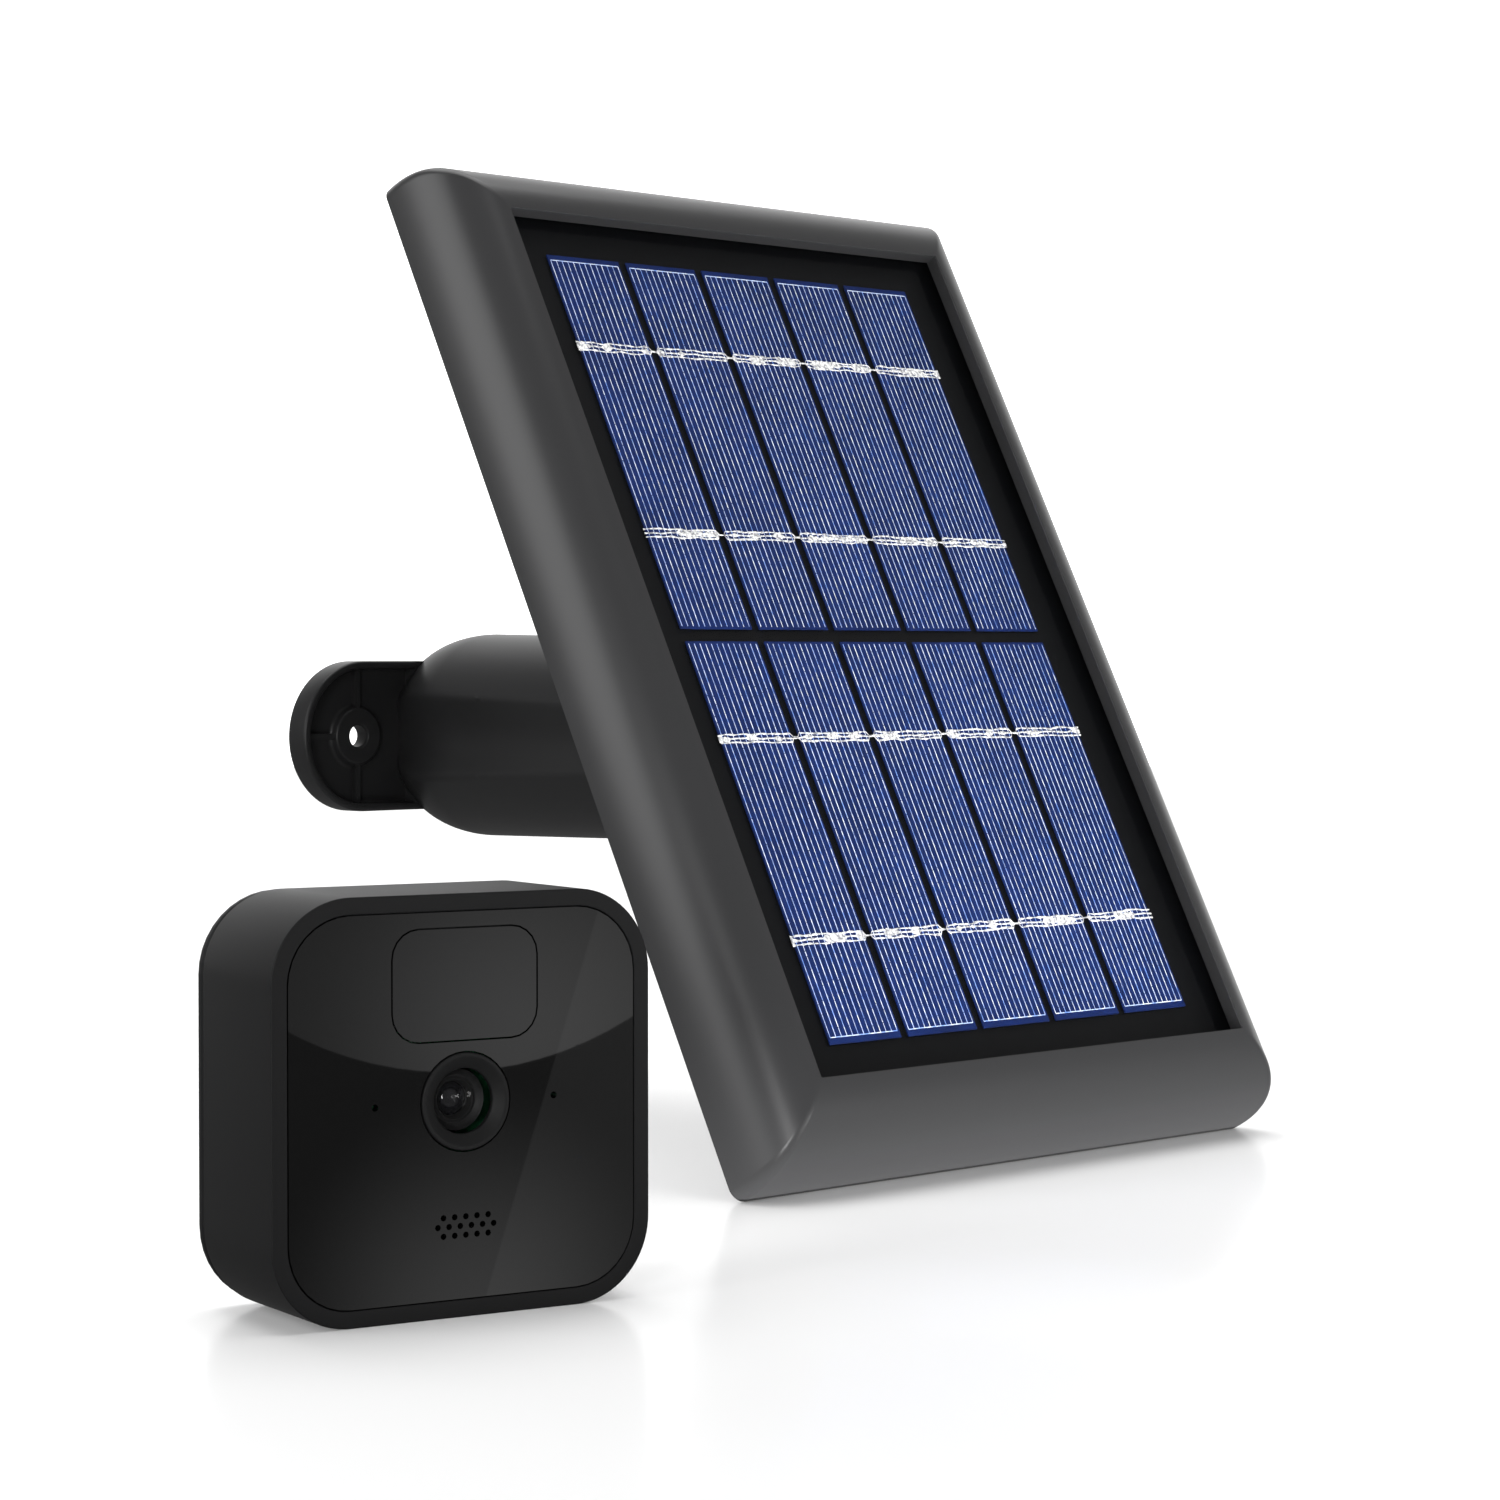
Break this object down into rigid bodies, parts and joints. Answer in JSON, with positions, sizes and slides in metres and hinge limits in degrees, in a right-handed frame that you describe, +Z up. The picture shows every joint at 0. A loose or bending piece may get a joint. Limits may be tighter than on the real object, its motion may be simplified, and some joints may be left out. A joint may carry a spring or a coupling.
{
  "type": "solar-powered security camera",
  "caption": "Battery security camera with its framed solar panel on a ball-headed wall bracket.",
  "frame": {"origin": "centre of the bracket's wall face", "axes": "+Y into the wall, -Y along the bracket's arm, +X to the right seen from the front, +Z up"},
  "size_m": [0.3004, 0.2315, 0.2149],
  "materials": {
    "charcoal_frame": "satin",
    "bracket_plastic": "satin",
    "white_nylon": "satin",
    "zinc_steel": "zinc plated",
    "brass": "turned",
    "clear_sheet": "clear, polished",
    "cell_blue": "blue coated silicon",
    "black_backing": "satin",
    "black_foam": "closed-cell foam",
    "green_board": "solder mask",
    "black_rubber": "matte",
    "camera_shell": "fine matte",
    "gloss_front": "high gloss",
    "pir_black": "satin gloss",
    "lens_black": "satin",
    "lens_glass": "polished",
    "battery_wrap": "printed film"
  },
  "bodies": {
    "bracket": {"wall_bracket": "bracket_plastic"},
    "clamp_ring": {"clamp_ring": "bracket_plastic"},
    "socket_cup": {"socket_cup": "white_nylon"},
    "ball": {"ball_head": "bracket_plastic", "threaded_stud": "zinc_steel"},
    "lock_nut": {"lock_nut": "bracket_plastic"},
    "panel": {"panel_frame": "charcoal_frame", "rear_cover": "charcoal_frame", "clear_sheet": "clear_sheet", "backing_board": "black_backing", "solar_cell_1_1": "cell_blue", "solar_cell_1_2": "cell_blue", "solar_cell_1_3": "cell_blue", "solar_cell_1_4": "cell_blue", "solar_cell_1_5": "cell_blue", "solar_cell_2_1": "cell_blue", "solar_cell_2_2": "cell_blue", "solar_cell_2_3": "cell_blue", "solar_cell_2_4": "cell_blue", "solar_cell_2_5": "cell_blue", "panel_gasket": "black_foam", "charge_board": "green_board", "threaded_insert": "brass", "cable_gland": "black_rubber", "rear_screw_1": "zinc_steel", "rear_screw_2": "zinc_steel", "rear_screw_3": "zinc_steel", "rear_screw_4": "zinc_steel", "rear_screw_5": "zinc_steel", "rear_screw_6": "zinc_steel"},
    "camera": {"body_shell": "camera_shell", "front_plate": "gloss_front", "pir_window": "pir_black", "lens_ring": "lens_black", "lens_barrel": "lens_black", "lens_front": "lens_glass", "image_sensor": "black_backing", "microphone": "zinc_steel", "status_led": "white_nylon", "infrared_led": "lens_glass", "pir_sensor": "zinc_steel", "speaker": "lens_black", "main_board": "green_board", "sync_switch": "lens_black", "usb_socket": "zinc_steel", "battery_bay": "lens_black", "battery_contact_left": "zinc_steel", "battery_contact_right": "zinc_steel", "battery_1": "battery_wrap", "battery_2": "battery_wrap"},
    "back_cover": {"back_cover": "camera_shell", "seal_gasket": "black_rubber"},
    "cover_screw": {"cover_screw": "zinc_steel"},
    "usb_plug": {"usb_plug": "black_rubber"},
    "sync_button": {"sync_button": "white_nylon"}
  },
  "joints": [
    {"name": "clamp_ring_turn", "type": "hinge", "parent": "bracket", "child": "clamp_ring", "pos_m": [0, -0.0966, 0], "axis": [0, -1, 0], "range_deg": [0, 90]},
    {"name": "socket_turn", "type": "hinge", "parent": "bracket", "child": "socket_cup", "pos_m": [0, -0.0966, 0], "axis": [0, -1, 0], "continuous": true},
    {"name": "ball_tilt", "type": "hinge", "parent": "socket_cup", "child": "ball", "pos_m": [0, -0.0966, 0], "axis": [1, 0, 0], "range_deg": [-10, 64]},
    {"name": "panel_spin", "type": "hinge", "parent": "ball", "child": "panel", "pos_m": [0, -0.14204, 0.02359], "axis": [0, -0.8875, 0.4608], "range_deg": [-180, 180]},
    {"name": "lock_nut_turn", "type": "hinge", "parent": "ball", "child": "lock_nut", "pos_m": [0, -0.14204, 0.02359], "axis": [0, -0.8875, 0.4608], "range_deg": [0, 360]},
    {"name": "camera_lift", "type": "slide", "parent": "bracket", "child": "camera", "axis": [0, 0, 1], "range_m": [0, 0.15]},
    {"name": "back_cover_pull", "type": "slide", "parent": "camera", "child": "back_cover", "axis": [0.2147, 0.9767, 0], "range_m": [0, 0.04]},
    {"name": "cover_screw_turn", "type": "hinge", "parent": "back_cover", "child": "cover_screw", "pos_m": [-0.17824, -0.19362, -0.0558], "axis": [0.2147, 0.9767, 0], "range_deg": [0, 360]},
    {"name": "usb_plug_swing", "type": "hinge", "parent": "back_cover", "child": "usb_plug", "pos_m": [-0.15835, -0.19861, -0.0846], "axis": [-0.9767, 0.2147, 0], "range_deg": [0, 110]},
    {"name": "sync_button_press", "type": "slide", "parent": "camera", "child": "sync_button", "axis": [-0.2147, -0.9767, 0], "range_m": [0, 0.0005], "stiffness_N_per_m": 400, "springref_m": -0.0005}
  ]
}
